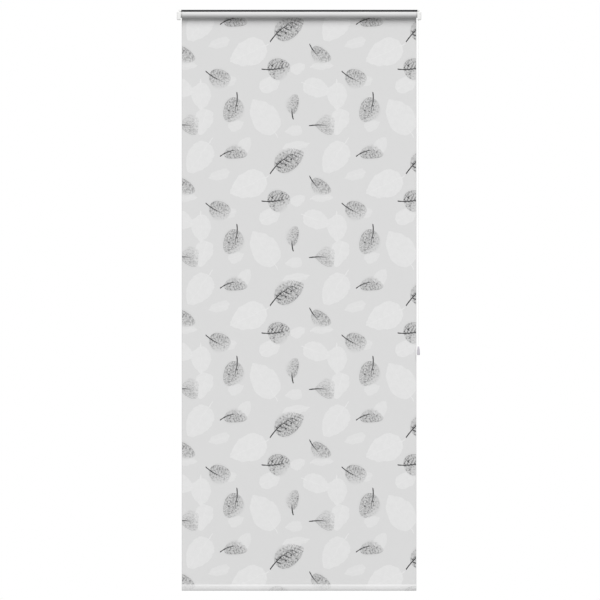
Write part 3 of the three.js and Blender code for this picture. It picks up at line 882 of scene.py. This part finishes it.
def dome_cover(side):
    bm = bmesh.new()
    bmesh.ops.create_cube(bm, size=1.0)
    height = CUP_HIGH - CUP_LOW
    straight = COVER_OUTER - COVER_INNER - COVER_ROUNDING
    bmesh.ops.scale(bm, verts=bm.verts, vec=(straight * MM, 2 * CUP_HALF_DEPTH * MM, height * MM))
    long_edges = [e for e in bm.edges if abs(e.verts[0].co.x - e.verts[1].co.x) > MERGE]
    corner = {"offset": CUP_CORNER * MM, "segments": 10, "profile": 0.5, "material": -1}
    bmesh.ops.bevel(bm, geom=long_edges, affect="EDGES", **corner)
    bm.faces.ensure_lookup_table()
    crown = max(bm.faces, key=lambda f: f.calc_center_median().x * side)
    back = min(bm.faces, key=lambda f: f.calc_center_median().x * side)
    bmesh.ops.delete(bm, geom=[back], context="FACES_ONLY")
    for i in range(DOME_STEPS):
        now, then = (math.pi / 2 * k / DOME_STEPS for k in (i, i + 1))
        bmesh.ops.inset_region(
            bm,
            faces=[crown],
            thickness=COVER_DRAW_IN * (math.cos(now) - math.cos(then)) * MM,
            depth=COVER_ROUNDING * (math.sin(then) - math.sin(now)) * MM,
            use_even_offset=True,
        )
    middle = (side * (COVER_INNER + straight / 2) * MM, 0, (CUP_LOW + CUP_HIGH) / 2 * MM)
    bmesh.ops.translate(bm, verts=bm.verts, vec=middle)
    return bm


for end, side in (("left", -1), ("right", 1)):
    cover = finished("end_cover_" + end, dome_cover(side), white_abs, ["cover_" + end])
    wall = cover.modifiers.new("moulded wall", "SOLIDIFY")
    wall.thickness = COVER_WALL * MM
    wall.offset = -1.0
    eased(cover, 0.25 * MM)

# %% [markdown]
# Plugs, spool, pin, eyelet and pull are round things, moulded or turned, so each is made as a lathe
# would: half of its section is drawn as a line and spun about its axis, with use_merge to join the
# last step to the first. A line that starts and ends on the axis needs no closing edge, and the
# merge of doubles closes its poles.

# %% Spin a section
SPIN_STEPS = 64
ROLLER_AXIS = (0.0, AXIS_Y, AXIS_Z)
CORD_LINE = (CORD_X / MM, CORD_Y / MM, 0.0)


def spun(profile, centre, axis, steps=SPIN_STEPS):
    """profile: rows of (radius, place along the axis), in mm. The axis passes through centre."""
    bm = bmesh.new()
    along = Vector(axis)
    out = Vector((0, -1, 0))
    middle = Vector(centre) * MM
    verts = [bm.verts.new(middle + (out * radius + along * place) * MM) for radius, place in profile]
    pairs = list(zip(verts, verts[1:]))
    if profile[0][0] > 0:
        pairs.append((verts[-1], verts[0]))
    line = [bm.edges.new(pair) for pair in pairs]
    whole = {"angle": 2 * math.pi, "steps": steps, "use_merge": True}
    bmesh.ops.spin(bm, geom=verts + line, cent=middle, axis=along, **whole)
    return bm


# %% [markdown]
# Inside the roll: a thin drawn tube, a plug in each end with a collar that keeps the cloth from
# creeping sideways, a steel pin on the idle side, and on the drive side a shaft with a flanged
# spool. The lines below are their half sections.

# %% Roller parts
CHAMFER, LEAD_IN = 0.6, 2.0
TUBE_INSIDE, TUBE_OUTSIDE, TUBE_END = 11.5, 12.5, 484.6
FLANGE_IN, FLANGE_OUT, PLUG_END = 484.9, 488.9, 452.9
FLANGE_RADIUS, BARREL_RADIUS, PIN_BORE = 15.0, 11.2, 3.3
PIN_RADIUS, PIN_OUTER, PIN_INNER = 3.0, -495.8, -458.8
BOSS_RADIUS, BOSS_END, SHAFT_RADIUS, SHAFT_END = 6.0, 490.9, 3.0, 499.5
SPOOL_BORE, DRUM_RADIUS, SPOOL_RADIUS = 3.3, 4.2, 9.8
SPOOL_ENDS, DRUM_ENDS = (491.2, 498.2), (492.0, 497.4)

tube = [(TUBE_INSIDE, -TUBE_END), (TUBE_OUTSIDE, -TUBE_END)]
tube += [(TUBE_OUTSIDE, TUBE_END), (TUBE_INSIDE, TUBE_END)]
idle_plug = [(PIN_BORE, -FLANGE_OUT), (FLANGE_RADIUS, -FLANGE_OUT), (FLANGE_RADIUS, -FLANGE_IN)]
idle_plug += [(BARREL_RADIUS, -FLANGE_IN), (BARREL_RADIUS, -PLUG_END - LEAD_IN)]
idle_plug += [(BARREL_RADIUS - CHAMFER, -PLUG_END), (PIN_BORE, -PLUG_END)]
idle_pin = [(0, PIN_OUTER), (PIN_RADIUS - CHAMFER, PIN_OUTER), (PIN_RADIUS, PIN_OUTER + CHAMFER)]
idle_pin += [(PIN_RADIUS, PIN_INNER - CHAMFER), (PIN_RADIUS - CHAMFER, PIN_INNER), (0, PIN_INNER)]
drive_plug = [(0, PLUG_END), (BARREL_RADIUS - CHAMFER, PLUG_END), (BARREL_RADIUS, PLUG_END + LEAD_IN)]
drive_plug += [(BARREL_RADIUS, FLANGE_IN), (FLANGE_RADIUS, FLANGE_IN), (FLANGE_RADIUS, FLANGE_OUT)]
drive_plug += [(BOSS_RADIUS, FLANGE_OUT), (BOSS_RADIUS, BOSS_END), (SHAFT_RADIUS, BOSS_END)]
drive_plug += [(SHAFT_RADIUS, SHAFT_END - 0.3), (SHAFT_RADIUS - 0.4, SHAFT_END), (0, SHAFT_END)]
spool = [(SPOOL_BORE, SPOOL_ENDS[0]), (SPOOL_RADIUS, SPOOL_ENDS[0]), (SPOOL_RADIUS, DRUM_ENDS[0])]
spool += [(DRUM_RADIUS, DRUM_ENDS[0]), (DRUM_RADIUS, DRUM_ENDS[1]), (SPOOL_RADIUS, DRUM_ENDS[1])]
spool += [(SPOOL_RADIUS, SPOOL_ENDS[1]), (SPOOL_BORE, SPOOL_ENDS[1])]
turned_parts = [
    ("inner_tube", tube, bare_aluminium, "tube_aluminium", "roller_tube", 0.15),
    ("idle_end_plug", idle_plug, grey_acetal, "grey_moulding", "idle_plug", 0.4),
    ("pivot_pin", idle_pin, plated_steel, "steel", "idle_pin", 0.15),
    ("drive_end_plug", drive_plug, grey_acetal, "grey_moulding", "drive_plug", 0.4),
    ("flanged_spool", spool, grey_acetal, "grey_moulding", "cord_spool", 0.2),
]
for name, profile, material, slot, solid, edge in turned_parts:
    part = finished(name, spun(profile, ROLLER_AXIS, (1, 0, 0)), material, [solid])
    eased(part, edge * MM)

# %% [markdown]
# The weight in the hem is a flat oval bar of extruded aluminium. A circle pressed to an oval and
# pulled along X makes it, and its sawn ends are square with the burr taken off.

# %% Hem bar
BAR_HALF, BAR_LENGTH = (1.8, 11.0), 965.0

bar_bm = bmesh.new()
bmesh.ops.create_circle(bar_bm, cap_ends=True, radius=1.0, segments=48)
bmesh.ops.scale(bar_bm, verts=bar_bm.verts, vec=(BAR_HALF[0] * MM, BAR_HALF[1] * MM, 1))
stand_up = Matrix(((0, 0, 1, 0), (1, 0, 0, 0), (0, 1, 0, 0), (0, 0, 0, 1)))
bmesh.ops.transform(bar_bm, verts=bar_bm.verts, matrix=stand_up)
first_end = (-BAR_LENGTH / 2 * MM, BAR_Y * MM, BAR_Z * MM)
bmesh.ops.translate(bar_bm, verts=bar_bm.verts, vec=first_end)
pulled = bmesh.ops.extrude_face_region(bar_bm, geom=bar_bm.faces[:], use_keep_orig=True)["geom"]
far_verts = [item for item in pulled if isinstance(item, bmesh.types.BMVert)]
bmesh.ops.translate(bar_bm, verts=far_verts, vec=(BAR_LENGTH * MM, 0, 0))
eased(finished("hem_bar", bar_bm, bare_aluminium, ["bottom_bar"]), 0.3 * MM)

# %% [markdown]
# The cord passes a small rolled eyelet, which keeps the sharp edge of the hole off the braid. Its
# lips are half rings, drawn point by point round the wall of the hole.

# %% Eyelet
EYELET_BORE, EYELET_WAIST, LIP_RADIUS, LIP_HEIGHT, LIP_STEPS = 1.1, 1.6, 0.5, 0.7, 6
EYELET_LOW, EYELET_HIGH = -43.4, -40.0


def lip(start, height):
    """Half a ring round the edge of the hole, from that angle on and round that height."""
    for k in range(LIP_STEPS + 1):
        angle = start + math.pi * k / LIP_STEPS
        radius = EYELET_BORE + LIP_RADIUS + LIP_RADIUS * math.cos(angle)
        yield radius, height + LIP_RADIUS * math.sin(angle)


eyelet = [
    *lip(math.pi, EYELET_LOW + LIP_RADIUS),
    (EYELET_WAIST, EYELET_LOW + LIP_HEIGHT),
    (EYELET_WAIST, EYELET_HIGH - LIP_HEIGHT),
    *lip(0.0, EYELET_HIGH - LIP_RADIUS),
]
finished("rolled_eyelet", spun(eyelet, CORD_LINE, (0, 0, 1), 32), plated_steel, ["cord_eyelet"])

# %% [markdown]
# The pull is a little bell of pearl-grey acrylic. Its side line swells from a narrow neck to a full
# foot, as a smooth curve through nine points. A hollow in the foot hides the knot that carries it.

# %% Bell pull
PULL_TOP, PULL_HEIGHT, PULL_BORE = -1390.0, 36.8, 1.0
KNOT_HOLLOW, HOLLOW_HEIGHT = 2.9, 6.5
BELL = [(2.2, 0), (2.8, 0.03), (3.3, 0.1), (4.0, 0.22), (5.0, 0.42), (5.7, 0.62), (5.9, 0.8)]
BELL += [(5.6, 0.94), (5.2, 1.0)]  # radius in mm, and share of the height from the top
BETWEEN = 5


def smooth_line(points, between):
    """A Catmull-Rom curve through points, with that many steps between neighbours."""
    padded = [points[0], *points, points[-1]]
    for four in zip(padded, padded[1:], padded[2:], padded[3:]):
        for k in range(between):
            t = k / between
            pulls = (2 * t**2 - t - t**3, 2 - 5 * t**2 + 3 * t**3, t + 4 * t**2 - 3 * t**3, t**3 - t**2)
            yield tuple(sum(w * v for w, v in zip(pulls, values)) / 2 for values in zip(*four))
    yield points[-1]


pull_foot = PULL_TOP - PULL_HEIGHT
bell_side = [(radius, PULL_TOP - share * PULL_HEIGHT) for radius, share in smooth_line(BELL, BETWEEN)]
bell = [
    (PULL_BORE, PULL_TOP),
    *bell_side,
    (KNOT_HOLLOW, pull_foot),
    (KNOT_HOLLOW, pull_foot + HOLLOW_HEIGHT),
    (PULL_BORE, pull_foot + HOLLOW_HEIGHT),
]
pull = finished("bell_pull", spun(bell, CORD_LINE, (0, 0, 1)), pearl_acrylic, ["pull"])
eased(pull, 0.2 * MM)

# %% [markdown]
# Under the pull the cord ends in an overhand knot, and on the spool lie some turns of it. Both are
# the same braided cord, so both are strands along a line: the knot follows a trefoil, and the
# winding climbs in layers to and fro across the spool.

# %% Knot and winding
KNOT_GAP, KNOT_RADIUS, KNOT_REACH, KNOT_TALL, KNOT_POINTS = 0.6, 2.3, 0.5, 1.7, 72
KNOT_SHARE = 0.97  # of the closed trefoil, so that the two ends stay apart
KNOT_MIDDLE = pull_foot + HOLLOW_HEIGHT - KNOT_GAP - KNOT_RADIUS
WIND_FROM, WIND_TO, LAYERS, TURNS_EACH, TURN_POINTS = 493.0, 496.4, 3, 3, 20
FIRST_LAYER, LAYER_STEP = 5.3, 1.45

knot_route = []
for k in range(KNOT_POINTS + 1):
    a = 2 * math.pi * k / KNOT_POINTS * KNOT_SHARE
    x = KNOT_REACH * (math.sin(a) + 2 * math.sin(2 * a))
    y = KNOT_REACH * (math.cos(a) - 2 * math.cos(2 * a))
    z = -KNOT_REACH * KNOT_TALL * math.sin(3 * a)
    knot_route.append(((CORD_LINE[0] + x) * MM, (CORD_LINE[1] + y) * MM, (KNOT_MIDDLE + z) * MM))

winding_route = []
for layer in range(LAYERS):
    radius = FIRST_LAYER + layer * LAYER_STEP
    for k in range(TURNS_EACH * TURN_POINTS):
        share = k / (TURNS_EACH * TURN_POINTS)
        across = share if layer % 2 == 0 else 1 - share
        a = 2 * math.pi * k / TURN_POINTS
        x = WIND_FROM + (WIND_TO - WIND_FROM) * across
        y, z = AXIS_Y + radius * math.cos(a), AXIS_Z + radius * math.sin(a)
        winding_route.append((x * MM, y * MM, z * MM))


def route_length(route):
    return sum((Vector(b) - Vector(a)).length for a, b in zip(route, route[1:]))


for name, route, solid in (
    ("overhand_knot", knot_route, "cord_knot"),
    ("wound_turns", winding_route, "cord_winding"),
):
    braid = braided_polyester("braided_polyester_" + solid, route_length(route))
    strand(name, route, braid, solid)
    print(name, "holds", round(route_length(route) / MM), "mm of cord")
